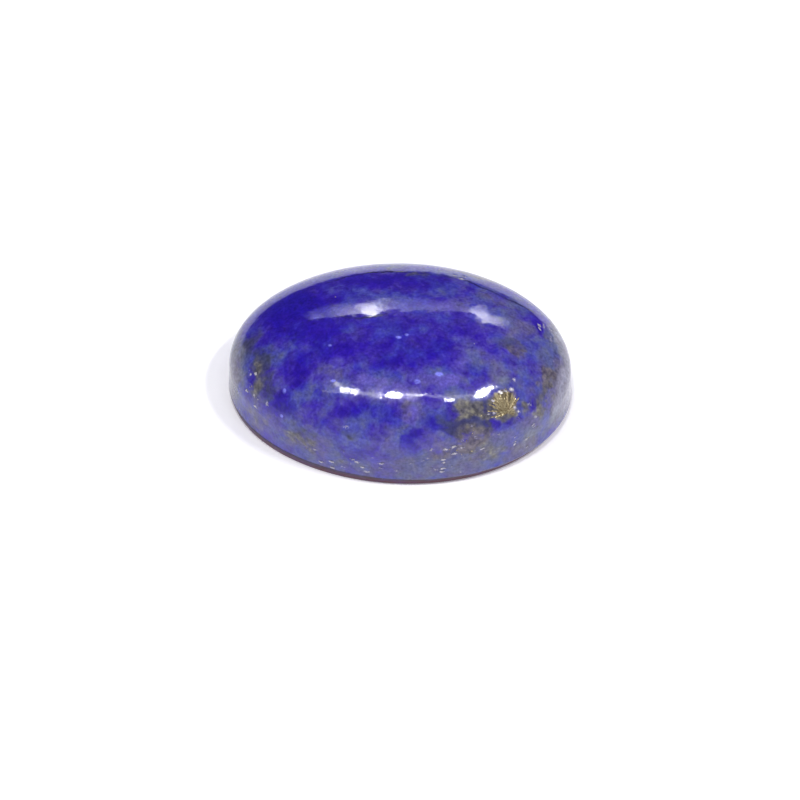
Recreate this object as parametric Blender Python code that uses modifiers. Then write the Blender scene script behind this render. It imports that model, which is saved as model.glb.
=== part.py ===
"""An oval lapis lazuli cabochon: one piece of polished rock with a flat back and a domed top.

Metres, +Z up. The stone lies on its flat back at Z = 0 with its length along X. Its oval is a little
fuller towards +X than towards -X, as a stone cut by hand is.
"""

import math

import bmesh
import bpy

# The cut stone
LENGTH = 0.0180
WIDTH = 0.0130
HEIGHT = 0.0056
FULLER_END = 0.027

# The narrow bevel round the back, which keeps the edge from chipping. It is ground a little off centre,
# so it is steeper at the -X end
BEVEL_HEIGHT = 0.00055
BEVEL_INSET = 0.00028
BACK_SHIFT = -0.00012

# The low wall above it, which leans in slightly up to where the dome springs
GIRDLE_HEIGHT = 0.00190
GIRDLE_LEAN = 0.00007

# The dome's curve: 2 would be an ellipse, and more is fuller at the shoulders
DOME_FULLNESS = 2.2

# How finely the shape is faceted
SEGMENTS = 96
DOME_RINGS = 28
WALL_RINGS = 2
BACK_RINGS = 2

MERGE_DISTANCE = 0.00001
SHARP_ANGLE = math.radians(32)


def clear_scene():
    for obj in list(bpy.data.objects):
        bpy.data.objects.remove(obj, do_unlink=True)


def stone_profile():
    """Half of the stone's section along its length, from the top of the dome down to the middle of the back."""
    half_length = LENGTH / 2
    spring_radius = half_length - GIRDLE_LEAN
    dome_height = HEIGHT - GIRDLE_HEIGHT
    back_radius = half_length - BEVEL_INSET

    points = [(0.0, HEIGHT)]
    for ring in range(DOME_RINGS - 1, -1, -1):
        angle = math.pi / 2 * ring / DOME_RINGS
        out = math.cos(angle) ** (2 / DOME_FULLNESS)
        up = math.sin(angle) ** (2 / DOME_FULLNESS)
        points.append((spring_radius * out, GIRDLE_HEIGHT + dome_height * up))
    for ring in range(1, WALL_RINGS + 1):
        down = ring / WALL_RINGS
        points.append((
            spring_radius + GIRDLE_LEAN * down,
            GIRDLE_HEIGHT + (BEVEL_HEIGHT - GIRDLE_HEIGHT) * down,
        ))
    for ring in range(BACK_RINGS):
        points.append((back_radius * (1 - ring / BACK_RINGS), 0.0))
    points.append((0.0, 0.0))
    return points


def turned(name, profile):
    """The profile swept round Z, as a mesh with a round plan."""
    outline = bpy.data.meshes.new(name + "_profile")
    edges = [(index, index + 1) for index in range(len(profile) - 1)]
    outline.from_pydata([(x, 0.0, z) for x, z in profile], edges, [])
    guide = bpy.data.objects.new(name + "_profile", outline)
    bpy.context.scene.collection.objects.link(guide)

    screw = guide.modifiers.new("Turn", "SCREW")
    screw.axis = "Z"
    screw.steps = SEGMENTS
    screw.render_steps = SEGMENTS
    screw.use_merge_vertices = True
    screw.merge_threshold = MERGE_DISTANCE

    graph = bpy.context.evaluated_depsgraph_get()
    mesh = bpy.data.meshes.new_from_object(guide.evaluated_get(graph))
    mesh.name = name
    bpy.data.objects.remove(guide, do_unlink=True)
    return mesh


def press_to_oval(mesh):
    """Narrows the round plan to the stone's width, by a little less towards +X, and shifts the flat back."""
    shape = bmesh.new()
    shape.from_mesh(mesh)
    for vert in shape.verts:
        radius = math.hypot(vert.co.x, vert.co.y)
        towards_end = vert.co.x / radius if radius > 0 else 0.0
        vert.co.y *= WIDTH / LENGTH * (1 + FULLER_END * towards_end)
        if vert.co.z < BEVEL_HEIGHT / 2:
            vert.co.x += BACK_SHIFT
    bmesh.ops.recalc_face_normals(shape, faces=shape.faces)
    shape.to_mesh(mesh)
    shape.free()


def lapis_material():
    material = bpy.data.materials.new("polished_lapis")
    material.use_nodes = True
    shader = material.node_tree.nodes["Principled BSDF"]
    shader.inputs["Base Color"].default_value = (0.040, 0.033, 0.300, 1.0)
    shader.inputs["Roughness"].default_value = 0.15
    shader.inputs["Metallic"].default_value = 0.0
    return material


def make_cabochon(collection):
    mesh = turned("cabochon", stone_profile())
    press_to_oval(mesh)
    mesh.materials.clear()
    mesh.materials.append(lapis_material())
    mesh.shade_smooth()
    mesh.set_sharp_from_angle(angle=SHARP_ANGLE)
    cabochon = bpy.data.objects.new("cabochon", mesh)
    collection.objects.link(cabochon)


clear_scene()
lapis = bpy.data.collections.new("lapis_lazuli_cabochon")
bpy.context.scene.collection.children.link(lapis)
make_cabochon(lapis)
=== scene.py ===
import math

import bmesh
import bpy
import numpy as np
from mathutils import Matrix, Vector, noise


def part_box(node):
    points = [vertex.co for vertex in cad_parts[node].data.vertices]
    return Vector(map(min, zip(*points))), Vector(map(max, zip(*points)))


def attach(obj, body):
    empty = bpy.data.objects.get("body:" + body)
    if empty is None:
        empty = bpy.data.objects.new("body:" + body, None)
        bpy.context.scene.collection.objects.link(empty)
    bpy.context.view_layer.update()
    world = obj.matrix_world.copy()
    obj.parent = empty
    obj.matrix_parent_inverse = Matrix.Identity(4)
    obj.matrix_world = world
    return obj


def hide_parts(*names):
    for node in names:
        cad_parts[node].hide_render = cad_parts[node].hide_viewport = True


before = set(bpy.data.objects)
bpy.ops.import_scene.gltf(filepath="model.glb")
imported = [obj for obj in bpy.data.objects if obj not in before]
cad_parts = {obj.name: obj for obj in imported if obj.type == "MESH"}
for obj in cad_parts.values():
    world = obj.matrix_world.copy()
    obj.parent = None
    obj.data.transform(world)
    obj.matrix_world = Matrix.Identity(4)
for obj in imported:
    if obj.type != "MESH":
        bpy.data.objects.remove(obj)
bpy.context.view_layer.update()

# The cut stone
# One piece of lapis lazuli, sawn to an oval, ground to a low dome over a flat back and polished.
# The wall stands nearly upright from a narrow ground bevel up to where the dome springs.
MM = 0.001
low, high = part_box("cabochon")
LENGTH = high.x - low.x
WIDTH = high.y - low.y
HEIGHT = high.z
FULLER_END = 0.027
BEVEL_HEIGHT = 0.55 * MM
BEVEL_INSET = 0.28 * MM
BACK_SHIFT = -0.12 * MM
GIRDLE_HEIGHT = 1.90 * MM
GIRDLE_LEAN = 0.07 * MM
DOME_FULLNESS = 2.2

DOME_RINGS = 136
DOME_RING_BIAS = 1.15
WALL_RINGS = 18
BEVEL_RINGS = 8
MESH_GRAIN = 0.072 * MM
GRAIN_GROWTH_UNDERNEATH = 1.25
FEWEST_SEGMENTS = 11


def section_rings():
    """Rings of the cut stone from its top to its back: radius at the long end, height, shift along X."""
    half = LENGTH / 2
    spring = half - GIRDLE_LEAN
    rings = []
    for ring in range(1, DOME_RINGS + 1):
        angle = math.pi / 2 * (1 - (ring / DOME_RINGS) ** DOME_RING_BIAS)
        out = math.cos(angle) ** (2 / DOME_FULLNESS)
        up = math.sin(angle) ** (2 / DOME_FULLNESS)
        rings.append((spring * out, GIRDLE_HEIGHT + (HEIGHT - GIRDLE_HEIGHT) * up, 0.0))
    for ring in range(1, WALL_RINGS + 1):
        down = ring / WALL_RINGS
        height = GIRDLE_HEIGHT + (BEVEL_HEIGHT - GIRDLE_HEIGHT) * down
        rings.append((spring + GIRDLE_LEAN * down, height, 0.0))
    for ring in range(1, BEVEL_RINGS + 1):
        down = ring / BEVEL_RINGS
        rings.append((half - BEVEL_INSET * down, BEVEL_HEIGHT * (1 - down), BACK_SHIFT * down))
    radius = half - BEVEL_INSET
    step = MESH_GRAIN
    while radius > 2 * step:
        radius -= step
        step *= GRAIN_GROWTH_UNDERNEATH
        rings.append((radius, 0.0, BACK_SHIFT))
    return rings


def segments_at(radius, before):
    """How many points a ring takes to keep the grain even: as many as the last ring, twice or half."""
    ellipse_share = (1 + WIDTH / LENGTH) / 2
    wanted = 2 * math.pi * radius * ellipse_share / MESH_GRAIN
    count = FEWEST_SEGMENTS * 2 ** max(0, math.ceil(math.log2(wanted / FEWEST_SEGMENTS)))
    return int(min(max(count, before / 2), before * 2))


def join_rings(faces, first, first_count, second, second_count):
    """Faces between two rings, of which one may have twice the other's points."""
    most = max(first_count, second_count)
    for step in range(most):
        here_first = first + step * first_count // most % first_count
        next_first = first + (step + 1) * first_count // most % first_count
        here_second = second + step * second_count // most % second_count
        next_second = second + (step + 1) * second_count // most % second_count
        face = [here_first, here_second, next_second, next_first]
        faces.append([point for place, point in enumerate(face) if point != face[place - 1]])


def cut_stone():
    """The cut stone's mesh, closed, in rings of even grain."""
    points = [(0.0, 0.0, HEIGHT)]
    faces = []
    start, count = 0, FEWEST_SEGMENTS
    for place, (radius, height, shift) in enumerate(section_rings()):
        before, before_count = start, count
        start = len(points)
        count = segments_at(radius, before_count)
        for step in range(count):
            angle = 2 * math.pi * step / count
            across = radius * WIDTH / LENGTH * (1 + FULLER_END * math.cos(angle))
            points.append((radius * math.cos(angle) + shift, across * math.sin(angle), height))
        if place == 0:
            faces += [[0, start + step, start + (step + 1) % count] for step in range(count)]
        else:
            join_rings(faces, before, before_count, start, count)
    points.append((BACK_SHIFT, 0.0, 0.0))
    faces += [[start + (step + 1) % count, start + step, len(points) - 1] for step in range(count)]
    mesh = bpy.data.meshes.new("lapis_cabochon")
    mesh.from_pydata(points, [], faces)
    shape = bmesh.new()
    shape.from_mesh(mesh)
    bmesh.ops.recalc_face_normals(shape, faces=shape.faces)
    shape.to_mesh(mesh)
    shape.free()
    mesh.shade_smooth()
    return mesh


stone = bpy.data.objects.new("lapis_cabochon", cut_stone())
bpy.context.scene.collection.objects.link(stone)


# The minerals in the rock
# Lapis is several minerals grown through each other: blue lazurite, white calcite and feldspar that cloud
# it grey, dark green-grey diopside, and pyrite, which stains its neighbours olive or rust. Each row is a
# place on this stone, in mm: x, y, z, its reach along X, its reach the other ways, and how much is there.
PLAIN_CLOUDING = 0.55
CLOUDING = (
    (-5.8, 1.2, 4.8, 2.2, 2.0, 0.03),
    (-1.6, 3.3, 5.1, 2.6, 0.8, 0.16),
    (1.8, 3.1, 5.1, 1.8, 0.7, 0.30),
    (-4.1, -0.8, 5.2, 1.1, 0.8, 0.22),
    (-3.0, -2.0, 5.2, 1.4, 0.7, 0.22),
    (-5.2, -2.9, 4.6, 0.8, 1.0, 0.20),
    (-0.4, -0.6, 5.6, 3.4, 1.5, 0.32),
    (-0.6, 1.2, 5.6, 3.6, 1.1, 0.40),
    (1.3, -2.0, 5.4, 1.6, 0.8, 0.24),
    (-0.6, -2.6, 5.3, 1.1, 0.5, 0.32),
    (3.4, 0.4, 5.3, 1.6, 1.0, 0.30),
    (4.5, -0.6, 5.2, 0.8, 0.7, 0.50),
    (4.0, 2.4, 5.0, 1.4, 1.1, 0.60),
    (-0.3, -3.8, 5.0, 3.2, 0.5, 0.62),
    (4.3, -1.9, 5.1, 1.1, 0.7, 0.66),
    (6.3, -1.4, 4.6, 0.9, 0.9, 0.54),
    (6.6, -2.8, 4.1, 0.6, 0.8, 0.70),
    (5.9, 0.6, 4.8, 0.9, 1.2, 0.78),
    (6.3, 2.4, 4.2, 1.0, 1.2, 0.48),
    (7.2, 1.4, 4.2, 0.3, 0.8, 0.16),
    (7.7, -0.3, 3.9, 0.6, 1.3, 0.80),
    (5.1, -2.5, 4.8, 0.5, 0.5, 0.80),
    (-7.5, -0.8, 4.0, 0.5, 1.4, 0.54),
    (-6.7, -2.6, 4.0, 0.6, 1.0, 0.60),
    (-5.6, -4.4, 3.3, 0.7, 0.5, 0.20),
    (-4.1, -4.3, 4.3, 0.9, 0.5, 0.58),
    (-2.3, -5.0, 4.1, 1.2, 0.5, 0.18),
    (-0.2, -5.3, 4.1, 0.8, 0.5, 0.36),
    (1.0, -4.7, 4.5, 0.5, 0.5, 0.66),
    (-1.0, -5.8, 3.4, 0.8, 0.4, 0.48),
    (0.9, -6.2, 3.0, 0.4, 0.3, 0.12),
    (1.3, -5.9, 3.4, 0.3, 0.3, 0.16),
    (1.9, -5.6, 3.8, 0.5, 0.4, 0.26),
    (2.9, -5.5, 3.5, 0.5, 0.3, 0.16),
    (5.6, -4.7, 3.1, 0.6, 0.3, 0.40),
    (-3.4, -5.6, 2.9, 1.2, 0.6, 0.56),
    (-0.2, -6.2, 2.6, 1.7, 0.6, 0.60),
    (2.4, -6.0, 2.3, 1.2, 0.7, 0.72),
    (4.6, -5.3, 2.4, 1.4, 0.7, 0.84),
    (7.0, -3.9, 2.3, 1.0, 0.8, 0.84),
    (-7.2, -3.4, 2.4, 1.0, 1.0, 0.64),
    (-5.4, -4.9, 1.9, 1.1, 0.8, 0.54),
    (-3.5, -5.9, 1.2, 1.6, 0.8, 0.72),
    (0.0, -6.4, 1.3, 2.0, 0.8, 0.76),
    (3.6, -5.9, 1.2, 1.8, 0.8, 0.88),
    (6.8, -4.3, 1.2, 1.5, 0.8, 1.00),
    (8.6, -1.6, 2.2, 0.9, 1.6, 1.20),
    (8.8, -0.2, 1.9, 0.6, 1.2, 1.00),
    (8.5, 1.6, 2.4, 0.9, 1.6, 1.20),
    (-8.6, -0.8, 2.2, 0.8, 1.8, 1.10),
    (-8.2, 2.0, 2.6, 1.0, 1.4, 0.56),
    (3.2, 4.5, 4.3, 1.4, 0.5, 0.80),
    (-3.0, 5.4, 3.0, 2.5, 0.9, 0.66),
    (2.5, 5.8, 2.4, 2.5, 0.9, 0.80),
)
# Bright lazurite blue along the row of lamp highlights on the front of the dome. It is part rock colour, part
# painted bluish glow round the highlights.
AZURE_AND_HIGHLIGHT_GLOW = (
    (0.3, -4.4, 4.8, 1.3, 0.5, 0.8),
    (-1.3, -3.8, 5.0, 1.2, 0.4, 0.6),
    (2.3, -3.5, 5.0, 0.9, 0.4, 0.9),
    (0.9, -5.3, 4.2, 0.4, 0.4, 0.6),
    (3.0, -2.3, 5.2, 0.6, 0.4, 0.5),
)
DIOPSIDE = (
    (-7.7, -0.6, 3.9, 0.5, 0.9, 0.5),
    (-7.0, -2.4, 3.9, 0.6, 1.3, 0.8),
    (-6.5, -3.6, 3.5, 0.5, 0.8, 0.6),
    (-5.6, -4.4, 3.3, 0.5, 0.4, 0.5),
    (3.9, -5.2, 3.6, 1.6, 0.6, 1.2),
    (4.9, -4.4, 3.9, 0.7, 0.5, 0.9),
    (5.2, -4.5, 3.6, 1.0, 0.4, 0.6),
    (7.2, -3.4, 3.0, 0.6, 0.6, 0.6),
    (0.6, 3.7, 5.0, 0.6, 0.3, 0.5),
    (-2.4, -5.8, 3.2, 0.6, 0.3, 0.5),
    (-4.4, -5.3, 2.6, 1.0, 0.5, 0.4),
    (-4.6, -5.5, 2.1, 1.3, 0.7, 0.24),
    (-0.2, -6.3, 2.3, 1.4, 0.6, 0.2),
    (5.6, -0.6, 4.9, 0.7, 0.5, 0.4),
)
OLIVE = (
    (4.0, -4.6, 4.1, 1.2, 0.45, 0.95),
    (5.7, -4.1, 3.8, 0.9, 0.6, 0.9),
    (4.2, -5.4, 3.3, 1.5, 0.5, 0.42),
    (6.9, -3.6, 3.3, 0.4, 0.4, 0.8),
    (7.3, -3.4, 2.9, 0.6, 0.5, 0.7),
    (7.9, -2.4, 3.2, 0.4, 0.7, 0.5),
    (3.4, 4.6, 4.2, 1.2, 0.4, 0.4),
    (-2.2, -6.1, 1.2, 0.9, 0.5, 0.5),
    (-4.6, -5.4, 1.9, 1.2, 0.5, 0.4),
    (-7.2, -2.6, 3.5, 0.4, 0.9, 0.5),
    (4.6, -5.6, 1.8, 1.6, 0.6, 0.4),
    (0.6, 3.8, 5.0, 0.5, 0.3, 0.3),
)
GOLD = (
    (5.7, -3.8, 4.0, 0.6, 0.5, 1.0),
)
RUST = (
    (7.8, -1.9, 3.4, 0.5, 0.7, 0.9),
    (6.1, -0.8, 4.7, 0.6, 0.4, 0.4),
    (4.4, -5.4, 3.1, 1.5, 0.5, 0.8),
    (4.0, -5.7, 2.6, 1.0, 0.5, 0.9),
    (2.6, -6.0, 2.2, 1.0, 0.5, 0.5),
    (-7.2, -3.4, 2.4, 0.6, 0.6, 0.3),
    (-8.7, -0.6, 1.8, 0.6, 2.6, 0.3),
    (-7.0, -3.6, 1.6, 1.4, 0.8, 0.4),
    (-8.4, 2.6, 2.0, 1.0, 1.6, 0.4),
    (8.8, 0.4, 2.0, 0.7, 3.0, 0.15),
    (4.0, 4.9, 3.6, 2.2, 0.6, 0.5),
    (0.6, -5.0, 4.3, 0.3, 0.5, 0.3),
)
PITTED = (
    (-4.4, -5.5, 1.8, 1.1, 0.8, 0.9),
    (-2.0, -6.1, 1.6, 2.0, 0.8, 0.9),
    (1.8, -6.3, 1.7, 1.4, 0.8, 0.9),
    (3.6, -5.8, 2.4, 1.7, 0.8, 1.0),
    (6.8, -4.3, 1.6, 1.2, 1.0, 0.9),
    (-7.4, -3.0, 3.0, 0.6, 1.2, 0.8),
    (7.6, 1.0, 3.8, 0.7, 2.0, 0.4),
    (3.8, 4.2, 4.5, 1.4, 0.5, 0.6),
    (0.0, 0.0, 1.4, 9.5, 1.2, 0.3),
)
PYRITE = (
    (5.7, -3.5, 4.2, 0.6, 0.3, 1.0),
    (6.3, -4.4, 3.4, 0.3, 0.3, 0.8),
    (4.9, -4.8, 3.6, 0.5, 0.3, 0.4),
    (4.1, -4.8, 3.8, 1.0, 0.4, 0.4),
    (-2.0, -6.3, 1.2, 0.5, 0.3, 0.5),
    (-4.5, -5.4, 1.9, 0.6, 0.4, 0.3),
    (3.0, -6.1, 2.2, 0.5, 0.4, 0.4),
    (4.3, -5.6, 2.6, 0.8, 0.4, 0.3),
    (6.9, -4.2, 1.6, 0.5, 0.5, 0.3),
    (-7.4, -3.0, 3.0, 0.3, 0.8, 0.4),
)
# Single white grains of calcite and mica that the wheel plucked at. The whitest, round the pyrite sheaf,
# are painted glints.
FLECKS_AND_GLINTS = (
    (3.0, 3.9, 4.8, 0.15, 0.09, 1.0),
    (4.0, 3.4, 4.9, 0.30, 0.08, 0.6),
    (7.4, 1.5, 4.0, 0.07, 0.28, 0.6),
    (7.8, 0.7, 3.8, 0.07, 0.30, 0.5),
    (6.1, -3.9, 3.6, 0.13, 0.09, 1.0),
    (6.3, -4.0, 3.4, 0.10, 0.08, 1.0),
    (6.4, -4.3, 3.2, 0.13, 0.10, 0.9),
    (6.8, -3.5, 3.4, 0.22, 0.09, 0.6),
    (7.2, -3.7, 2.7, 0.12, 0.09, 0.8),
    (6.8, -4.3, 1.6, 0.16, 0.09, 0.9),
    (5.4, -5.1, 2.8, 0.10, 0.08, 0.6),
    (4.8, -4.6, 3.8, 0.12, 0.08, 0.8),
    (5.1, -4.5, 3.8, 0.10, 0.08, 0.9),
    (5.0, -4.0, 4.2, 0.14, 0.07, 0.8),
    (5.3, -3.5, 4.3, 0.12, 0.09, 1.0),
    (5.6, -3.4, 4.3, 0.10, 0.08, 0.9),
    (5.9, -3.2, 4.2, 0.13, 0.11, 1.0),
    (6.0, -2.7, 4.4, 0.09, 0.12, 0.7),
    (4.2, -5.5, 3.0, 0.10, 0.08, 0.7),
    (3.6, -5.8, 3.0, 0.14, 0.07, 0.6),
    (2.7, -6.1, 2.6, 0.15, 0.08, 1.0),
    (3.5, -6.0, 0.8, 0.12, 0.08, 0.7),
    (2.2, -6.3, 1.2, 0.10, 0.08, 0.8),
    (1.8, -6.3, 2.1, 0.10, 0.08, 0.6),
    (0.2, -6.5, 1.2, 0.09, 0.08, 0.7),
    (-1.3, -6.4, 0.9, 0.16, 0.08, 0.9),
    (-1.8, -6.3, 1.5, 0.18, 0.08, 0.9),
    (-2.2, -6.3, 1.3, 0.09, 0.08, 0.9),
    (-2.7, -6.2, 0.9, 0.25, 0.07, 0.7),
    (-2.5, -5.7, 3.5, 0.24, 0.09, 0.6),
    (-6.6, -3.9, 3.0, 0.09, 0.14, 0.7),
    (-7.3, -3.3, 2.9, 0.10, 0.09, 0.8),
    (-7.6, -2.4, 3.5, 0.08, 0.12, 0.8),
)
# Bright specks of pure lazurite.
SPARKS = (
    (0.0, -1.2, 5.6, 0.16, 0.08, 0.9),
    (0.4, -1.0, 5.6, 0.10, 0.08, 1.0),
    (-3.5, -1.7, 5.3, 0.12, 0.08, 0.6),
    (-3.2, -3.7, 4.8, 0.14, 0.08, 0.9),
    (-4.3, 0.2, 5.2, 0.18, 0.10, 0.4),
    (-5.7, -3.8, 3.9, 0.10, 0.14, 1.0),
    (-5.8, -4.6, 2.9, 0.10, 0.08, 0.9),
    (2.2, -3.2, 5.1, 0.20, 0.12, 0.6),
    (1.1, -3.7, 5.0, 0.16, 0.13, 1.0),
)
# Where a sheaf of pyrite blades fans out from.
SHEAF = Vector((5.76, -4.28, 3.58))
# Two dark lines: seams in the rock, drawn along where the mirrored table and panes end on the dome,
# so they are also a painted dark edge to those reflections. Each row is a place on a line, x and y
# in mm, and how plainly it shows there.
BACK_SEAM_AND_TABLE_EDGE = (
    (-4.2, 3.0, 0.0), (-3.1, 3.5, 0.8), (-2.4, 3.7, 0.4), (-1.9, 3.9, 0.9), (-1.0, 4.0, 1.0), (0.0, 4.0, 0.7),
    (0.5, 4.0, 0.4), (1.5, 3.9, 0.3), (2.5, 3.9, 0.5), (3.2, 3.8, 0.7), (3.8, 3.4, 0.9), (4.6, 3.1, 0.6),
    (5.2, 2.8, 0.4), (5.9, 2.6, 0.8), (6.7, 2.4, 0.8), (7.0, 2.1, 0.0),
)
TOP_SEAM_AND_PANE_EDGE = (
    (-3.6, 0.1, 0.0), (-3.0, 0.2, 0.5), (-2.5, 0.1, 0.4), (-2.1, 0.0, 0.7), (-1.7, 0.1, 1.0), (-1.2, 0.2, 0.9),
    (-0.9, 0.3, 0.7), (-0.5, 0.5, 0.0),
)
SEAM_AND_EDGE_BAND = 0.5
WANDER = 0.42
WANDER_SIZE = 0.9
WANDER_OCTAVES = 3
WANDER_SEED = 9
CORE, FADE = 0.35, 1.25


def nearness(points, place):
    """1 inside a place's core, falling smoothly to 0 at its edge."""
    x, y, z, along, across = place[:5]
    apart = np.sqrt((((points - (x, y, z)) / (along, across, across)) ** 2).sum(1))
    share = np.clip((CORE + FADE - apart) / FADE, 0, 1)
    return share * share * (3 - 2 * share)


def most(points, rows):
    """How much of a mineral there is at each point, where these rows place it."""
    return np.max([nearness(points, place) * place[5] for place in rows], axis=0)


def beside(points, seam_and_mirror_edge):
    """How far each point on the dome lies past a dark line, along Y, and how plainly the line shows there."""
    along, across, plainly = np.transpose(seam_and_mirror_edge)
    past = points[:, 1] - np.interp(points[:, 0], along, across)
    shown = np.interp(points[:, 0], along, plainly) * np.clip(2 - 2 * abs(past) / SEAM_AND_EDGE_BAND, 0, 1)
    return past, np.where(points[:, 2] > GIRDLE_HEIGHT / MM, shown, 0)


def store(name, values):
    layer = stone.data.attributes.new(name, "FLOAT", "POINT")
    layer.data.foreach_set("value", values)


places = np.zeros(len(stone.data.vertices) * 3)
stone.data.vertices.foreach_get("co", places)
places = places.reshape(-1, 3) / MM
noise.seed_set(WANDER_SEED)
stray = [noise.turbulence_vector(Vector(place) / WANDER_SIZE, WANDER_OCTAVES, False) for place in places]
wandered = places + WANDER * np.array(stray)

shares = [nearness(wandered, place) for place in CLOUDING]
clouding = sum(share * (place[5] - PLAIN_CLOUDING) for share, place in zip(shares, CLOUDING))
store("clouding", PLAIN_CLOUDING + clouding / np.maximum(1, sum(shares)))
store("azure_and_highlight_glow", most(wandered, AZURE_AND_HIGHLIGHT_GLOW))
store("diopside", most(wandered, DIOPSIDE))
store("olive", most(wandered, OLIVE))
store("gold", most(wandered, GOLD))
store("rust", most(wandered, RUST))
store("pitted", most(wandered, PITTED))
store("pyrite", most(wandered, PYRITE))
store("spark", most(places, SPARKS))
store("fleck", most(places, FLECKS_AND_GLINTS))
past_back, back_shown = beside(places, BACK_SEAM_AND_TABLE_EDGE)
past_top, top_shown = beside(places, TOP_SEAM_AND_PANE_EDGE)
store("seam_and_mirror_edge", np.where(back_shown > 0, past_back, past_top))
store("seam_and_mirror_edge_shown", back_shown + top_shown)


# Polished lapis lazuli
# A vitreous polish, IOR about 1.5, over fine-grained rock. The blue is deepest where lazurite is pure, and
# turns violet or steel blue, then grey, where calcite clouds it. Clouded rock, flecks and the ground bevel
# are duller. The ground bevel is also painted dark brown-violet as shade under the girdle.
BEND_SIZE = 0.8
BEND_REACH = 0.5
CLOUD_SIZE = 1.1
MOTTLE_SIZE = 0.42
SPECK_SIZE = 0.15
HUE_SIZE = 1.2
OLIVE_SIZE = 0.28
RUST_SIZE = 0.3
RAYS = 9
SEAM_AND_EDGE_SIZE = 0.35
FLECK_SPACING = 0.36
FLECK_STRETCH = (0.7, 0.9, 1.7)
FLECK_FRAY = 0.15
CRUMB_SIZE = 0.08
SHADE_SIZE = 0.6
# Below this height, which slants along X, the ground bevel is painted dark brown-violet as painted shade.
BEVEL_SHADE_TOP = 0.58
BEVEL_SHADE_SLANT = 0.012


def paint(code):
    """An sRGB hex colour as linear red, green, blue and alpha."""
    parts = [int(code[place:place + 2], 16) / 255 for place in (1, 3, 5)]
    return [part / 12.92 if part <= 0.04045 else ((part + 0.055) / 1.055) ** 2.4 for part in parts] + [1.0]


def add(tree, kind, inputs=None, stops=(), **settings):
    """Adds a node to a tree. An input, by name or place, is a value or the node or socket that feeds it."""
    node = tree.nodes.new(kind)
    for name, value in settings.items():
        setattr(node, name, value)
    for key, value in (inputs or {}).items():
        socket = node.inputs[key]
        if isinstance(key, str):
            socket = next(each for each in node.inputs if each.enabled and each.name == key)
        if isinstance(value, bpy.types.Node):
            value = next(each for each in value.outputs if each.enabled)
        if isinstance(value, bpy.types.NodeSocket):
            tree.links.new(value, socket)
        else:
            socket.default_value = value
    for place, (position, colour) in enumerate(stops):
        elements = node.color_ramp.elements
        element = elements[place] if place < len(elements) else elements.new(position)
        element.position = position
        element.color = colour
    return node


lapis = bpy.data.materials.new("polished_lapis_lazuli")
lapis.use_nodes = True
rock = lapis.node_tree
rock.nodes.clear()
spot = add(rock, "ShaderNodeTexCoord").outputs["Object"]
spot = add(rock, "ShaderNodeVectorMath", {0: spot, "Scale": 1 / MM}, operation="SCALE")
amount = {
    name: add(rock, "ShaderNodeAttribute", attribute_name=name, attribute_type="GEOMETRY").outputs["Fac"]
    for name in (
        "clouding", "azure_and_highlight_glow", "diopside", "olive", "gold", "rust", "spark", "pitted", "fleck", "seam_and_mirror_edge",
        "seam_and_mirror_edge_shown",
    )
}

bend = add(rock, "ShaderNodeTexNoise", {"Vector": spot, "Scale": 1 / BEND_SIZE, "Detail": 1.0})
bent = add(rock, "ShaderNodeVectorMath", {
    0: bend.outputs["Color"], 1: [BEND_REACH] * 3, 2: spot,
}, operation="MULTIPLY_ADD")
swing = 0.0
for size, share, detail in ((CLOUD_SIZE, 0.9, 1.5), (MOTTLE_SIZE, 0.6, 1.0), (SPECK_SIZE, 0.2, 1.0)):
    grown = add(rock, "ShaderNodeTexNoise", {"Vector": bent, "Scale": 1 / size, "Detail": detail})
    grown = add(rock, "ShaderNodeMath", {0: grown, 1: share, 2: -share / 2}, operation="MULTIPLY_ADD")
    swing = add(rock, "ShaderNodeMath", {0: grown, 1: swing}, operation="ADD")
lively = add(rock, "ShaderNodeValToRGB", {"Fac": amount["clouding"]}, stops=(
    (0.00, [0.4] * 4), (0.50, [1.0] * 4), (0.60, [1.0] * 4), (0.80, [0.5] * 4),
))
clouded = add(rock, "ShaderNodeMath", {0: swing, 1: lively, 2: amount["clouding"]}, operation="MULTIPLY_ADD")
shown = add(rock, "ShaderNodeMath", {0: clouded, 1: 0.8}, operation="MULTIPLY")
violet = add(rock, "ShaderNodeValToRGB", {"Fac": shown}, stops=(
    (0.00, paint("#200B96")), (0.16, paint("#2C159B")), (0.32, paint("#3E2DA1")), (0.48, paint("#5048A2")),
    (0.64, paint("#5C5690")), (0.80, paint("#6C6886")), (1.00, paint("#9290A8")),
))
steel = add(rock, "ShaderNodeValToRGB", {"Fac": shown}, stops=(
    (0.00, paint("#1E0C96")), (0.16, paint("#29199B")), (0.32, paint("#3734A1")), (0.48, paint("#4A4E9F")),
    (0.64, paint("#585D8E")), (0.80, paint("#686C84")), (1.00, paint("#8E90A8")),
))
hue = add(rock, "ShaderNodeTexNoise", {"Vector": bent, "Scale": 1 / HUE_SIZE, "Detail": 2.0})
hue = add(rock, "ShaderNodeMapRange", {"Value": hue, "From Min": 0.42, "From Max": 0.58})
body = add(rock, "ShaderNodeMix", {"Factor": hue, 6: violet, 7: steel}, data_type="RGBA").outputs[2]

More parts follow.
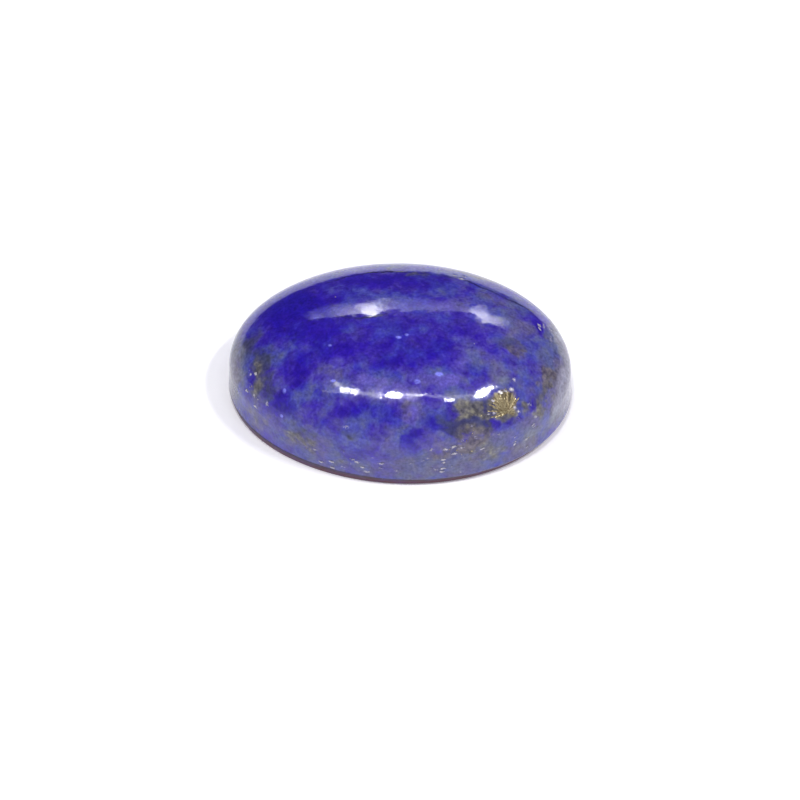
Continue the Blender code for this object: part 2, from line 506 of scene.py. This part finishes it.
speckle = add(rock, "ShaderNodeTexNoise", {"Vector": spot, "Scale": 1 / OLIVE_SIZE, "Detail": 3.0})
olive = add(rock, "ShaderNodeValToRGB", {"Fac": speckle}, stops=(
    (0.36, paint("#4E4C50")), (0.47, paint("#636062")), (0.56, paint("#706D68")), (0.66, paint("#878374")),
))
blush = add(rock, "ShaderNodeTexNoise", {"Vector": bent, "Scale": 1 / RUST_SIZE, "Detail": 2.0})
rust = add(rock, "ShaderNodeValToRGB", {"Fac": blush}, stops=(
    (0.35, paint("#4C4456")), (0.65, paint("#72686E")),
))
ray = add(rock, "ShaderNodeVectorMath", {0: spot, 1: SHEAF}, operation="SUBTRACT")
ray = add(rock, "ShaderNodeVectorMath", {0: ray}, operation="NORMALIZE")
ray = add(rock, "ShaderNodeTexNoise", {"Vector": ray, "Scale": RAYS, "Detail": 1.0})
gold = add(rock, "ShaderNodeValToRGB", {"Fac": ray}, stops=(
    (0.35, paint("#605444")), (0.50, paint("#8A7E60")), (0.65, paint("#AEA27E")),
))
# Each mineral's colour is laid over the body. The azure layer is part rock colour, part painted glow round the
# lamp highlights.
for name, colour, strength in (
    ("azure_and_highlight_glow", paint("#6256B6"), 0.8), ("diopside", paint("#383B54"), 0.78), ("rust", rust, 0.85),
    ("olive", olive, 0.92), ("gold", gold, 0.95), ("spark", paint("#8284EE"), 0.9),
):
    frayed = add(rock, "ShaderNodeMath", {0: swing, 1: 2.5, 2: 1.0}, operation="MULTIPLY_ADD")
    frayed = add(rock, "ShaderNodeMath", {0: frayed, 1: amount[name]}, operation="MULTIPLY")
    mask = add(rock, "ShaderNodeMapRange", {
        "Value": frayed, "From Min": 0.05, "From Max": 0.75, "To Max": strength,
    }, interpolation_type="SMOOTHSTEP")
    body = add(rock, "ShaderNodeMix", {"Factor": mask, 6: body, 7: colour}, data_type="RGBA").outputs[2]

# A dark hairline along each line: partly a seam in the rock, partly a painted dark edge to the mirrored table
# and panes.
seam_and_edge_line = add(rock, "ShaderNodeTexNoise", {"Vector": spot, "Scale": 1 / SEAM_AND_EDGE_SIZE, "Detail": 2.0})
seam_and_edge_line = add(rock, "ShaderNodeMath", {0: seam_and_edge_line, 1: 0.3, 2: amount["seam_and_mirror_edge"]}, operation="MULTIPLY_ADD")
seam_and_edge_line = add(rock, "ShaderNodeMath", {0: seam_and_edge_line, 1: 0.15}, operation="SUBTRACT")
seam_and_edge_line = add(rock, "ShaderNodeMath", {0: seam_and_edge_line}, operation="ABSOLUTE")
seam_and_edge_line = add(rock, "ShaderNodeMapRange", {"Value": seam_and_edge_line, "From Min": 0.12, "From Max": 0.05})
seam_and_edge_line = add(rock, "ShaderNodeMath", {0: seam_and_edge_line, 1: amount["seam_and_mirror_edge_shown"]}, operation="MULTIPLY")
body = add(rock, "ShaderNodeMix", {"Factor": seam_and_edge_line, 6: body, 7: paint("#1A1258")}, data_type="RGBA")

tatter = add(rock, "ShaderNodeTexNoise", {"Vector": spot, "Scale": 1 / SPECK_SIZE, "Detail": 1.0})
frayed = add(rock, "ShaderNodeVectorMath", {
    0: tatter.outputs["Color"], 1: [FLECK_FRAY] * 3, 2: spot,
}, operation="MULTIPLY_ADD")
stretched = add(rock, "ShaderNodeVectorMath", {0: frayed, 1: FLECK_STRETCH}, operation="MULTIPLY")
rarity = add(rock, "ShaderNodeMath", {0: amount["pitted"], 1: 0.3}, operation="MULTIPLY")
crumb = add(rock, "ShaderNodeTexNoise", {"Vector": spot, "Scale": 1 / CRUMB_SIZE, "Detail": 1.0})
crumb = add(rock, "ShaderNodeMath", {0: crumb, 1: 2.8, 2: -1.4}, operation="MULTIPLY_ADD")
body = body.outputs[2]
for shadow_drop, reach, fullness, placed, strength, shades in (
    # Dark spots just above the random flecks: painted shadow beside each pit.
    (0.08, 0.50, 1.0, 0.0, 0.7, ("#3A3850", "#302E46", "#262438")),
    # Pale calcite and mica grains. The fullest listed flecks turn near white, as painted glints.
    (0.0, 0.46, 0.85, amount["fleck"], 0.9, ("#8E8AA8", "#B4B0BA", "#E8E4E8")),
):
    moved = add(rock, "ShaderNodeVectorMath", {0: stretched, 1: (0.0, 0.0, -shadow_drop)}, operation="ADD")
    cell = add(rock, "ShaderNodeTexVoronoi", {"Vector": moved, "Scale": 1 / FLECK_SPACING})
    chance = add(rock, "ShaderNodeSeparateColor", {"Color": cell.outputs["Color"]}).outputs["Red"]
    fleck = add(rock, "ShaderNodeMath", {0: chance, 1: rarity}, operation="LESS_THAN")
    dot = add(rock, "ShaderNodeMapRange", {
        "Value": cell.outputs["Distance"], "From Min": reach, "From Max": reach * 0.3, "To Max": fullness,
    }, interpolation_type="SMOOTHSTEP")
    fleck = add(rock, "ShaderNodeMath", {0: fleck, 1: dot}, operation="MULTIPLY")
    fleck = add(rock, "ShaderNodeMath", {0: fleck, 1: placed}, operation="MAXIMUM")
    shades = add(rock, "ShaderNodeValToRGB", {"Fac": fleck}, stops=[
        (place, paint(code)) for place, code in zip((0.4, 0.75, 1.0), shades)
    ])
    ragged = add(rock, "ShaderNodeMath", {0: crumb, 1: fleck}, operation="ADD")
    ragged = add(rock, "ShaderNodeMapRange", {
        "Value": ragged, "From Min": 0.15, "From Max": 0.9, "To Max": strength,
    }, interpolation_type="SMOOTHSTEP")
    within = add(rock, "ShaderNodeMapRange", {"Value": fleck, "From Min": 0.0, "From Max": 0.2})
    ragged = add(rock, "ShaderNodeMath", {0: ragged, 1: within}, operation="MULTIPLY")
    body = add(rock, "ShaderNodeMix", {"Factor": ragged, 6: body, 7: shades}, data_type="RGBA").outputs[2]

grit = add(rock, "ShaderNodeTexNoise", {"Vector": spot, "Scale": 1 / SPECK_SIZE, "Detail": 2.0})
broad = add(rock, "ShaderNodeTexNoise", {"Vector": bent, "Scale": 1 / SHADE_SIZE, "Detail": 2.0})
shade = add(rock, "ShaderNodeMath", {0: grit, 1: 1.2, 2: 0.0}, operation="MULTIPLY_ADD")
shade = add(rock, "ShaderNodeMath", {0: broad, 1: 0.8, 2: shade}, operation="MULTIPLY_ADD")
body = add(rock, "ShaderNodeVectorMath", {0: body, "Scale": shade}, operation="SCALE")
# The ground bevel is dull and less mirror-like. It is also painted dark brown-violet, darkest at its top and
# mottled, as painted shade under the overhanging girdle.
along_x = add(rock, "ShaderNodeSeparateXYZ", {"Vector": spot}).outputs["X"]
height = add(rock, "ShaderNodeSeparateXYZ", {"Vector": spot}).outputs["Z"]
slanted = add(rock, "ShaderNodeMath", {0: along_x, 1: BEVEL_SHADE_SLANT, 2: height}, operation="MULTIPLY_ADD")
ground_and_shaded = add(rock, "ShaderNodeMapRange", {
    "Value": slanted, "From Min": BEVEL_SHADE_TOP, "From Max": BEVEL_SHADE_TOP - 0.06,
}).outputs["Result"]
shade_mottle = add(rock, "ShaderNodeMapRange", {
    "Value": broad, "From Min": 0.35, "From Max": 0.65, "To Min": 0.96, "To Max": 0.78,
})
bevel_shade = add(rock, "ShaderNodeMath", {0: ground_and_shaded, 1: shade_mottle}, operation="MULTIPLY")
bevel_shade_colour = add(rock, "ShaderNodeValToRGB", {"Fac": height}, stops=(
    (0.10, paint("#663C42")), (0.35, paint("#461F2D")), (0.55, paint("#2C132C")),
))
body = add(rock, "ShaderNodeMix", {"Factor": bevel_shade, 6: body, 7: bevel_shade_colour}, data_type="RGBA")

dull = add(rock, "ShaderNodeMapRange", {
    "Value": clouded, "From Min": 0.2, "From Max": 1.0, "To Min": 0.05, "To Max": 0.13,
})
dull = add(rock, "ShaderNodeMath", {0: fleck, 1: 0.3, 2: dull}, operation="MULTIPLY_ADD")
dull = add(rock, "ShaderNodeMath", {0: ground_and_shaded, 1: 0.4, 2: dull}, operation="MULTIPLY_ADD")
mirror = add(rock, "ShaderNodeMath", {0: ground_and_shaded, 1: -0.3, 2: 0.5}, operation="MULTIPLY_ADD")
coarse = add(rock, "ShaderNodeMath", {0: grit, 1: amount["clouding"]}, operation="MULTIPLY")
uneven = add(rock, "ShaderNodeBump", {"Strength": 1.0, "Distance": 0.0035 * MM, "Height": coarse})
shader = add(rock, "ShaderNodeBsdfPrincipled", {
    "Base Color": body.outputs[2], "Roughness": dull, "IOR": 1.5, "Specular IOR Level": mirror,
    "Normal": uneven, "Coat Weight": 0.12, "Coat Roughness": 0.22,
})
add(rock, "ShaderNodeOutputMaterial", {"Surface": shader})


# The worn polish
# Soft calcite and mica pluck out under the wheel and leave pits, most of them along the wall, and the
# harder grains stand a few thousandths of a millimetre proud, so the gloss ripples, most of all round the
# pyrite. The bevel is ground, not polished. A node tree takes the fine surface down by that much, in mm.
WEAR = {
    "Peel Size": 0.85, "Peel Depth": 0.022, "Ripple Size": 0.27, "Ripple Depth": 0.005, "Crust": 5.0,
    "Fleck Spacing": FLECK_SPACING, "Pit Depth": 0.018, "Polished Above": BEVEL_HEIGHT / MM, "Seed": 7,
}
SOCKETS = {int: "NodeSocketInt", float: "NodeSocketFloat", Vector: "NodeSocketVector"}


def tree_taking(name, sizes):
    """A Geometry Nodes tree that takes a mesh and these named sizes."""
    tree = bpy.data.node_groups.new(name, "GeometryNodeTree")
    tree.interface.new_socket("Geometry", in_out="INPUT", socket_type="NodeSocketGeometry")
    for label, size in sizes.items():
        tree.interface.new_socket(label, in_out="INPUT", socket_type=SOCKETS[type(size)])
    tree.interface.new_socket("Geometry", in_out="OUTPUT", socket_type="NodeSocketGeometry")
    return tree


def worked(tree, sizes):
    """What the tree makes of the stone at these sizes, as a plain mesh."""
    modifier = stone.modifiers.new(tree.name, "NODES")
    modifier.node_group = tree
    for socket in tree.interface.items_tree:
        if socket.name in sizes:
            size = sizes[socket.name]
            modifier[socket.identifier] = list(size) if isinstance(size, Vector) else size
    graph = bpy.context.evaluated_depsgraph_get()
    mesh = bpy.data.meshes.new_from_object(stone.evaluated_get(graph))
    stone.modifiers.remove(modifier)
    return mesh


relief = tree_taking("worn_polish", WEAR)
given = add(relief, "NodeGroupInput").outputs
here = add(relief, "GeometryNodeInputPosition")
here = add(relief, "ShaderNodeVectorMath", {0: here, "Scale": 1 / MM}, operation="SCALE")
falls = []
for size, depth, detail in (("Peel Size", "Peel Depth", 1.0), ("Ripple Size", "Ripple Depth", 2.0)):
    scale = add(relief, "ShaderNodeMath", {0: 1.0, 1: given[size]}, operation="DIVIDE")
    wave = add(relief, "ShaderNodeTexNoise", {
        "Vector": here, "W": given["Seed"], "Scale": scale, "Detail": detail,
    }, noise_dimensions="4D")
    falls.append(add(relief, "ShaderNodeMath", {0: wave, 1: given[depth]}, operation="MULTIPLY"))
mixed = add(relief, "GeometryNodeInputNamedAttribute", {"Name": "clouding"}, data_type="FLOAT")
mixed = add(relief, "ShaderNodeMapRange", {"Value": mixed, "From Min": 0.1, "From Max": 0.6, "To Min": 0.3})
gilded = add(relief, "GeometryNodeInputNamedAttribute", {"Name": "gold"}, data_type="FLOAT")
crust = add(relief, "ShaderNodeMath", {0: gilded, 1: given["Crust"], 2: mixed}, operation="MULTIPLY_ADD")
falls[1] = add(relief, "ShaderNodeMath", {0: falls[1], 1: crust}, operation="MULTIPLY")
stretched = add(relief, "ShaderNodeVectorMath", {0: here, 1: FLECK_STRETCH}, operation="MULTIPLY")
flecks_a_mm = add(relief, "ShaderNodeMath", {0: 1.0, 1: given["Fleck Spacing"]}, operation="DIVIDE")
cell = add(relief, "ShaderNodeTexVoronoi", {"Vector": stretched, "Scale": flecks_a_mm})
bowl = add(relief, "ShaderNodeMapRange", {
    "Value": cell.outputs["Distance"], "From Min": 0.40, "From Max": 0.12,
}, interpolation_type="SMOOTHSTEP")
chance = add(relief, "FunctionNodeSeparateColor", {"Color": cell.outputs["Color"]}).outputs["Red"]
pitted = add(relief, "GeometryNodeInputNamedAttribute", {"Name": "pitted"}, data_type="FLOAT")
plucked = add(relief, "ShaderNodeMath", {0: pitted, 1: 0.3}, operation="MULTIPLY")
plucked = add(relief, "ShaderNodeMath", {0: chance, 1: plucked}, operation="LESS_THAN")
plucked = add(relief, "ShaderNodeMath", {0: plucked, 1: bowl}, operation="MULTIPLY")
grain = add(relief, "GeometryNodeInputNamedAttribute", {"Name": "fleck"}, data_type="FLOAT")
plucked = add(relief, "ShaderNodeMath", {0: plucked, 1: grain}, operation="MAXIMUM")
falls.append(add(relief, "ShaderNodeMath", {0: plucked, 1: given["Pit Depth"]}, operation="MULTIPLY"))
fall = add(relief, "ShaderNodeMath", {0: falls[0], 1: falls[1]}, operation="ADD")
fall = add(relief, "ShaderNodeMath", {0: fall, 1: falls[2]}, operation="ADD")
height = add(relief, "ShaderNodeSeparateXYZ", {"Vector": here}).outputs["Z"]
polished = add(relief, "ShaderNodeMapRange", {
    "Value": height, "From Min": 0.02, "From Max": given["Polished Above"],
}, interpolation_type="SMOOTHSTEP")
fall = add(relief, "ShaderNodeMath", {0: fall, 1: polished}, operation="MULTIPLY")
fall = add(relief, "ShaderNodeMath", {0: fall, 1: -MM}, operation="MULTIPLY")
outward = add(relief, "GeometryNodeInputNormal")
inward = add(relief, "ShaderNodeVectorMath", {0: outward, "Scale": fall}, operation="SCALE")
worn = add(relief, "GeometryNodeSetPosition", {"Geometry": given["Geometry"], "Offset": inward})
worn = add(relief, "GeometryNodeRealizeInstances", {"Geometry": worn})
worn = add(relief, "GeometryNodeSetMaterial", {"Geometry": worn, "Material": lapis})
add(relief, "NodeGroupOutput", {"Geometry": worn})

stone.data = worked(relief, WEAR)
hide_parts("cabochon")
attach(stone, "root")


# Polished pyrite
# Brass-yellow iron sulphide that takes a bright polish and tarnishes brown in patches.
TARNISH_SIZE = 0.09

pyrite = bpy.data.materials.new("polished_pyrite")
pyrite.use_nodes = True
metal = pyrite.node_tree
metal.nodes.clear()
spot = add(metal, "ShaderNodeTexCoord").outputs["Object"]
spot = add(metal, "ShaderNodeVectorMath", {0: spot, "Scale": 1 / MM}, operation="SCALE")
tarnish = add(metal, "ShaderNodeTexNoise", {"Vector": spot, "Scale": 1 / TARNISH_SIZE, "Detail": 2.0})
brass = add(metal, "ShaderNodeValToRGB", {"Fac": tarnish}, stops=(
    (0.36, paint("#7C6E54")), (0.50, paint("#9A8C6E")), (0.64, paint("#C0B492")),
))
dull = add(metal, "ShaderNodeMapRange", {
    "Value": tarnish, "From Min": 0.35, "From Max": 0.65, "To Min": 0.6, "To Max": 0.4,
})
shader = add(metal, "ShaderNodeBsdfPrincipled", {"Base Color": brass, "Roughness": dull, "Metallic": 1.0})
add(metal, "ShaderNodeOutputMaterial", {"Surface": shader})


# The pyrite in the rock
# It is harder than the rock round it, so the wheel leaves its grains a hair proud. Most are specks, and on
# the front right shoulder a sheaf of blades fans out. A node tree lays both on the stone, in metres.
GROWTH = {
    "Centre": SHEAF * MM, "Blades": 42, "Blade Length": 1.0 * MM, "Blade Width": 0.085 * MM,
    "Blade Thickness": 0.022 * MM, "Fan From": math.radians(-85), "Fan To": math.radians(60),
    "Grain Size": 0.050 * MM, "Grain Density": 0.8e7, "Polished Above": BEVEL_HEIGHT, "Seed": 7,
}

laid = tree_taking("pyrite_in_the_rock", GROWTH)
given = add(laid, "NodeGroupInput").outputs
skin = given["Geometry"]
facing = add(laid, "GeometryNodeInputNormal")
out = add(laid, "GeometryNodeSampleNearestSurface", {
    "Mesh": skin, "Value": facing, "Sample Position": given["Centre"],
}, data_type="FLOAT_VECTOR").outputs["Value"]
side = add(laid, "ShaderNodeVectorMath", {0: (0.0, 0.0, 1.0), 1: out}, operation="CROSS_PRODUCT")
side = add(laid, "ShaderNodeVectorMath", {0: side}, operation="NORMALIZE")
upslope = add(laid, "ShaderNodeVectorMath", {0: out, 1: side}, operation="CROSS_PRODUCT")

number = add(laid, "GeometryNodeInputIndex")
turn = add(laid, "ShaderNodeMapRange", {
    "Value": number, "From Min": 0.0, "From Max": given["Blades"],
    "To Min": given["Fan From"], "To Max": given["Fan To"],
})
stray = add(laid, "FunctionNodeRandomValue", {
    "Min": -0.25, "Max": 0.25, "Seed": given["Seed"],
}, data_type="FLOAT")
turn = add(laid, "ShaderNodeMath", {0: turn, 1: stray}, operation="ADD")
cosine = add(laid, "ShaderNodeMath", {0: turn}, operation="COSINE")
sine = add(laid, "ShaderNodeMath", {0: turn}, operation="SINE")
along_up = add(laid, "ShaderNodeVectorMath", {0: upslope, "Scale": cosine}, operation="SCALE")
along_side = add(laid, "ShaderNodeVectorMath", {0: side, "Scale": sine}, operation="SCALE")
heading = add(laid, "ShaderNodeVectorMath", {0: along_up, 1: along_side}, operation="ADD")
roll = add(laid, "FunctionNodeRandomValue", {
    "Min": [-0.5] * 3, "Max": [0.5] * 3, "Seed": given["Seed"],
}, data_type="FLOAT_VECTOR")
tipped = add(laid, "ShaderNodeVectorMath", {0: out, 1: roll}, operation="ADD")
stood = add(laid, "FunctionNodeAlignRotationToVector", {"Vector": heading}, axis="Z")
stood = add(laid, "FunctionNodeAlignRotationToVector", {
    "Rotation": stood, "Vector": tipped,
}, axis="X", pivot_axis="Z")
share = add(laid, "FunctionNodeRandomValue", {
    "Min": 0.35, "Max": 1.15, "Seed": given["Seed"],
}, data_type="FLOAT")
length = add(laid, "ShaderNodeMath", {0: given["Blade Length"], 1: share}, operation="MULTIPLY")
size = add(laid, "ShaderNodeCombineXYZ", {
    "X": given["Blade Thickness"], "Y": given["Blade Width"], "Z": length,
})
blade = add(laid, "GeometryNodeMeshCone", {
    "Vertices": 6, "Side Segments": 6, "Radius Top": 0.5, "Radius Bottom": 0.2, "Depth": 1.0,
}, fill_type="NGON")
sheaf = add(laid, "GeometryNodePoints", {"Count": given["Blades"], "Position": given["Centre"]})
sheaf = add(laid, "GeometryNodeInstanceOnPoints", {
    "Points": sheaf, "Instance": blade.outputs["Mesh"], "Rotation": stood, "Scale": size,
})
sheaf = add(laid, "GeometryNodeRealizeInstances", {"Geometry": sheaf})
now = add(laid, "GeometryNodeInputPosition")
offset = add(laid, "ShaderNodeVectorMath", {0: now, 1: given["Centre"]}, operation="SUBTRACT")
proud = add(laid, "ShaderNodeVectorMath", {0: offset, 1: out}, operation="DOT_PRODUCT").outputs["Value"]
nearest = add(laid, "GeometryNodeProximity", {"Geometry": skin}, target_element="FACES")
local_out = add(laid, "GeometryNodeSampleNearestSurface", {
    "Mesh": skin, "Value": facing,
}, data_type="FLOAT_VECTOR").outputs["Value"]
lifted = add(laid, "ShaderNodeVectorMath", {0: local_out, "Scale": proud}, operation="SCALE")
lifted = add(laid, "ShaderNodeVectorMath", {0: nearest.outputs["Position"], 1: lifted}, operation="ADD")
sheaf = add(laid, "GeometryNodeSetPosition", {"Geometry": sheaf, "Position": lifted})

rich = add(laid, "GeometryNodeInputNamedAttribute", {"Name": "pyrite"}, data_type="FLOAT")
rich = add(laid, "ShaderNodeMath", {0: rich, 1: 0.003}, operation="ADD")
density = add(laid, "ShaderNodeMath", {0: rich, 1: given["Grain Density"]}, operation="MULTIPLY")
height = add(laid, "ShaderNodeSeparateXYZ", {"Vector": now}).outputs["Z"]
above = add(laid, "ShaderNodeMath", {0: height, 1: given["Polished Above"]}, operation="GREATER_THAN")
density = add(laid, "ShaderNodeMath", {0: density, 1: above}, operation="MULTIPLY")
strewn = add(laid, "GeometryNodeDistributePointsOnFaces", {
    "Mesh": skin, "Density": density, "Seed": given["Seed"],
})
spin = add(laid, "FunctionNodeRandomValue", {
    "Min": (-0.4, -0.4, 0.0), "Max": (0.4, 0.4, math.tau), "Seed": given["Seed"],
}, data_type="FLOAT_VECTOR")
turned = add(laid, "FunctionNodeRotateRotation", {
    "Rotation": strewn.outputs["Rotation"], "Rotate By": spin,
}, rotation_space="LOCAL")
grown = add(laid, "FunctionNodeRandomValue", {
    "Min": (0.4, 0.3, 0.2), "Max": (1.5, 0.8, 0.4), "Seed": given["Seed"],
}, data_type="FLOAT_VECTOR")
grain_size = add(laid, "ShaderNodeVectorMath", {0: grown, "Scale": given["Grain Size"]}, operation="SCALE")
lump = add(laid, "GeometryNodeMeshIcoSphere", {"Radius": 1.0, "Subdivisions": 1})
specks = add(laid, "GeometryNodeInstanceOnPoints", {
    "Points": strewn.outputs["Points"], "Instance": lump.outputs["Mesh"], "Rotation": turned,
    "Scale": grain_size,
})
both = add(laid, "GeometryNodeJoinGeometry", {"Geometry": sheaf})
laid.links.new(specks.outputs["Instances"], both.inputs["Geometry"])
both = add(laid, "GeometryNodeRealizeInstances", {"Geometry": both})
both = add(laid, "GeometryNodeSetShadeSmooth", {"Geometry": both, "Shade Smooth": False})
both = add(laid, "GeometryNodeSetMaterial", {"Geometry": both, "Material": pyrite})
add(laid, "NodeGroupOutput", {"Geometry": both})

grains = bpy.data.objects.new("pyrite_grains", worked(laid, GROWTH))
grains.data.name = "pyrite_grains"
bpy.context.scene.collection.objects.link(grains)
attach(grains, "root")


# The table
# A wide sheet of matt white acrylic, lit a little from below, as a light table is.
TABLE_HALF = 0.5
TABLE_GLOW = 0.22

table_mesh = bpy.data.meshes.new("table_top")
corners = [(x * TABLE_HALF, y * TABLE_HALF, 0.0) for x, y in ((-1, -1), (1, -1), (1, 1), (-1, 1))]
table_mesh.from_pydata(corners, [], [(0, 1, 2, 3)])
table = bpy.data.objects.new("table_top", table_mesh)
bpy.context.scene.collection.objects.link(table)
acrylic = bpy.data.materials.new("white_acrylic")
acrylic.use_nodes = True
finish = acrylic.node_tree.nodes["Principled BSDF"].inputs
finish["Base Color"].default_value = paint("#F7F7F7")
finish["Roughness"].default_value = 0.9
finish["Emission Color"].default_value = paint("#EEECFF")
finish["Emission Strength"].default_value = TABLE_GLOW
table_mesh.materials.append(acrylic)


# The light
# Small lamps and a thin strip hang overhead, where the dome mirrors them. Turns, rises and sizes are in
# degrees as seen from the stone, and a turn is clockwise from the camera's heading, seen from above.
CAMERA_TURN = math.radians(3.55)
LAMP_DISTANCE = 0.6


def towards(turn, rise):
    """Unit vector at a turn and a rise, in radians."""
    turn -= CAMERA_TURN
    return Vector((math.sin(turn) * math.cos(rise), math.cos(turn) * math.cos(rise), math.sin(rise)))


def lamp(name, turn, rise, width, height, radiance):
    """A flat lamp facing the stone, so many times as bright as white paper."""
    light = bpy.data.lights.new(name, "AREA")
    light.shape = "ELLIPSE"
    light.size = 2 * LAMP_DISTANCE * math.tan(math.radians(width / 2))
    light.size_y = 2 * LAMP_DISTANCE * math.tan(math.radians(height / 2))
    light.energy = radiance * math.pi * light.size * light.size_y * math.pi / 4
    holder = bpy.data.objects.new(name, light)
    way = towards(math.radians(turn), math.radians(rise))
    holder.location = way * LAMP_DISTANCE
    holder.rotation_mode = "QUATERNION"
    holder.rotation_quaternion = way.to_track_quat("Z", "Y")
    holder.visible_camera = False
    bpy.context.scene.collection.objects.link(holder)


lamp("lamp_1", -117.2, 68.0, 6.0, 3.8, 66)
lamp("lamp_2", -161.0, 76.8, 7.2, 6.6, 90)
lamp("lamp_3", 136.0, 68.6, 3.2, 2.0, 90)
lamp("lamp_4", 105.8, 60.8, 12.0, 4.4, 84)
lamp("lamp_5", 168.0, 77.8, 1.9, 1.2, 50)
lamp("lamp_6", 155.0, 77.5, 1.2, 1.0, 25)
lamp("lamp_7", -101.0, 67.2, 4.0, 2.6, 16)
lamp("strip", 180.0, 77.6, 60.0, 2.6, 5)


# The room
# Dim walls, paler low down round the camera's side. Behind the stone stands a row of bright panes, each
# fading towards its foot. A row is a turn, the height of the panes' top edge there, both in degrees, and
# how bright they are, as a share of PANE_LIGHT.
PANE_LIGHT = 22.0
PANE_HEIGHT = 9.5
PANE_EDGE = 0.4
PANES = (
    (-24, 40.0, 0.00), (-21.5, 40.3, 0.12), (-19, 41.0, 0.06), (-15.4, 41.0, 0.09), (-13.5, 42.2, 0.18),
    (-11, 44.0, 0.27), (-9, 44.6, 0.35), (-8, 44.3, 0.85), (-5, 44.2, 1.10), (-4, 43.8, 0.60),
    (-3, 43.4, 0.20), (0, 43.0, 0.12), (3, 42.0, 0.09), (9, 40.5, 0.11), (12, 39.0, 0.08),
    (14.2, 38.5, 0.10), (16, 38.0, 0.20), (17, 37.0, 0.55), (19, 37.3, 0.62), (20.5, 38.5, 0.58),
    (22, 40.5, 0.52), (24.5, 38.5, 0.42), (26.5, 38.0, 0.38), (28, 36.5, 0.34), (29, 35.5, 0.00),
)

world = bpy.data.worlds.new("studio")
bpy.context.scene.world = world
world.use_nodes = True
air = world.node_tree
air.nodes.clear()
way = add(air, "ShaderNodeTexCoord").outputs["Generated"]
ahead = add(air, "ShaderNodeVectorMath", {0: way, 1: towards(math.pi, 0)}, operation="DOT_PRODUCT")
lit = add(air, "ShaderNodeMapRange", {
    "Value": ahead.outputs["Value"], "From Min": -0.6, "From Max": 0.7,
}, interpolation_type="SMOOTHSTEP")
way = add(air, "ShaderNodeSeparateXYZ", {"Vector": way}).outputs
level = add(air, "ShaderNodeMapRange", {"Value": way["Z"], "From Min": 0.75, "From Max": 0.0, "To Max": 0.65})
lit = add(air, "ShaderNodeMath", {0: lit, 1: level}, operation="MULTIPLY")
wall = add(air, "ShaderNodeMix", {"Factor": lit, 6: paint("#575661"), 7: paint("#FFFFFF")}, data_type="RGBA")

turn = add(air, "ShaderNodeMath", {0: way["X"], 1: way["Y"]}, operation="ARCTAN2")
turn = add(air, "ShaderNodeMath", {0: turn, 1: CAMERA_TURN}, operation="ADD")
turn = add(air, "ShaderNodeMath", {0: turn}, operation="DEGREES")
rise = add(air, "ShaderNodeMath", {0: way["Z"]}, operation="ARCSINE")
rise = add(air, "ShaderNodeMath", {0: rise}, operation="DEGREES")
first, last = PANES[0][0], PANES[-1][0]
along = add(air, "ShaderNodeMapRange", {"Value": turn, "From Min": first, "From Max": last})
row = add(air, "ShaderNodeValToRGB", {"Fac": along}, stops=[
    ((turn - first) / (last - first), (top / 90, light, 0, 1)) for turn, top, light in PANES
])
row = add(air, "ShaderNodeSeparateColor", {"Color": row}).outputs
top = add(air, "ShaderNodeMath", {0: row["Red"], 1: 90}, operation="MULTIPLY")
below = add(air, "ShaderNodeMath", {0: top, 1: rise}, operation="SUBTRACT")
fading = add(air, "ShaderNodeMapRange", {"Value": below, "From Min": PANE_HEIGHT, "From Max": 0.0})
edge = add(air, "ShaderNodeMapRange", {"Value": below, "From Min": -PANE_EDGE, "From Max": PANE_EDGE})
pane = add(air, "ShaderNodeMath", {0: fading, 1: edge}, operation="MULTIPLY")
pane = add(air, "ShaderNodeMath", {0: pane, 1: row["Green"]}, operation="MULTIPLY")
pane = add(air, "ShaderNodeMath", {0: pane, 1: PANE_LIGHT}, operation="MULTIPLY")
sky = add(air, "ShaderNodeVectorMath", {0: wall.outputs[2], 1: pane}, operation="ADD")
sky = add(air, "ShaderNodeBackground", {"Color": sky, "Strength": 1.0})
add(air, "ShaderNodeOutputWorld", {"Surface": sky})


# The camera
# It looks down on the stone from the photograph's side.
CAMERA_RISE = math.radians(47.97)
CAMERA_DISTANCE = 198 * MM
CAMERA_LENS = 171.0
CAMERA_SENSOR = 36.0
AIM_HEIGHT = 2.08 * MM
FRAMING_DROP = 1.81 * MM

view = bpy.data.cameras.new("camera")
view.lens = CAMERA_LENS
view.sensor_width = CAMERA_SENSOR
view.clip_start = 0.01
view.clip_end = 10
camera = bpy.data.objects.new("camera", view)
bpy.context.scene.collection.objects.link(camera)
middle = Vector((0, 0, AIM_HEIGHT))
camera.location = middle + towards(math.pi, CAMERA_RISE) * CAMERA_DISTANCE
aim = middle - towards(0, math.pi / 2 - CAMERA_RISE) * FRAMING_DROP
camera.rotation_mode = "QUATERNION"
camera.rotation_quaternion = (camera.location - aim).to_track_quat("Z", "Y")
bpy.context.scene.camera = camera
bpy.context.scene.view_settings.view_transform = "Standard"
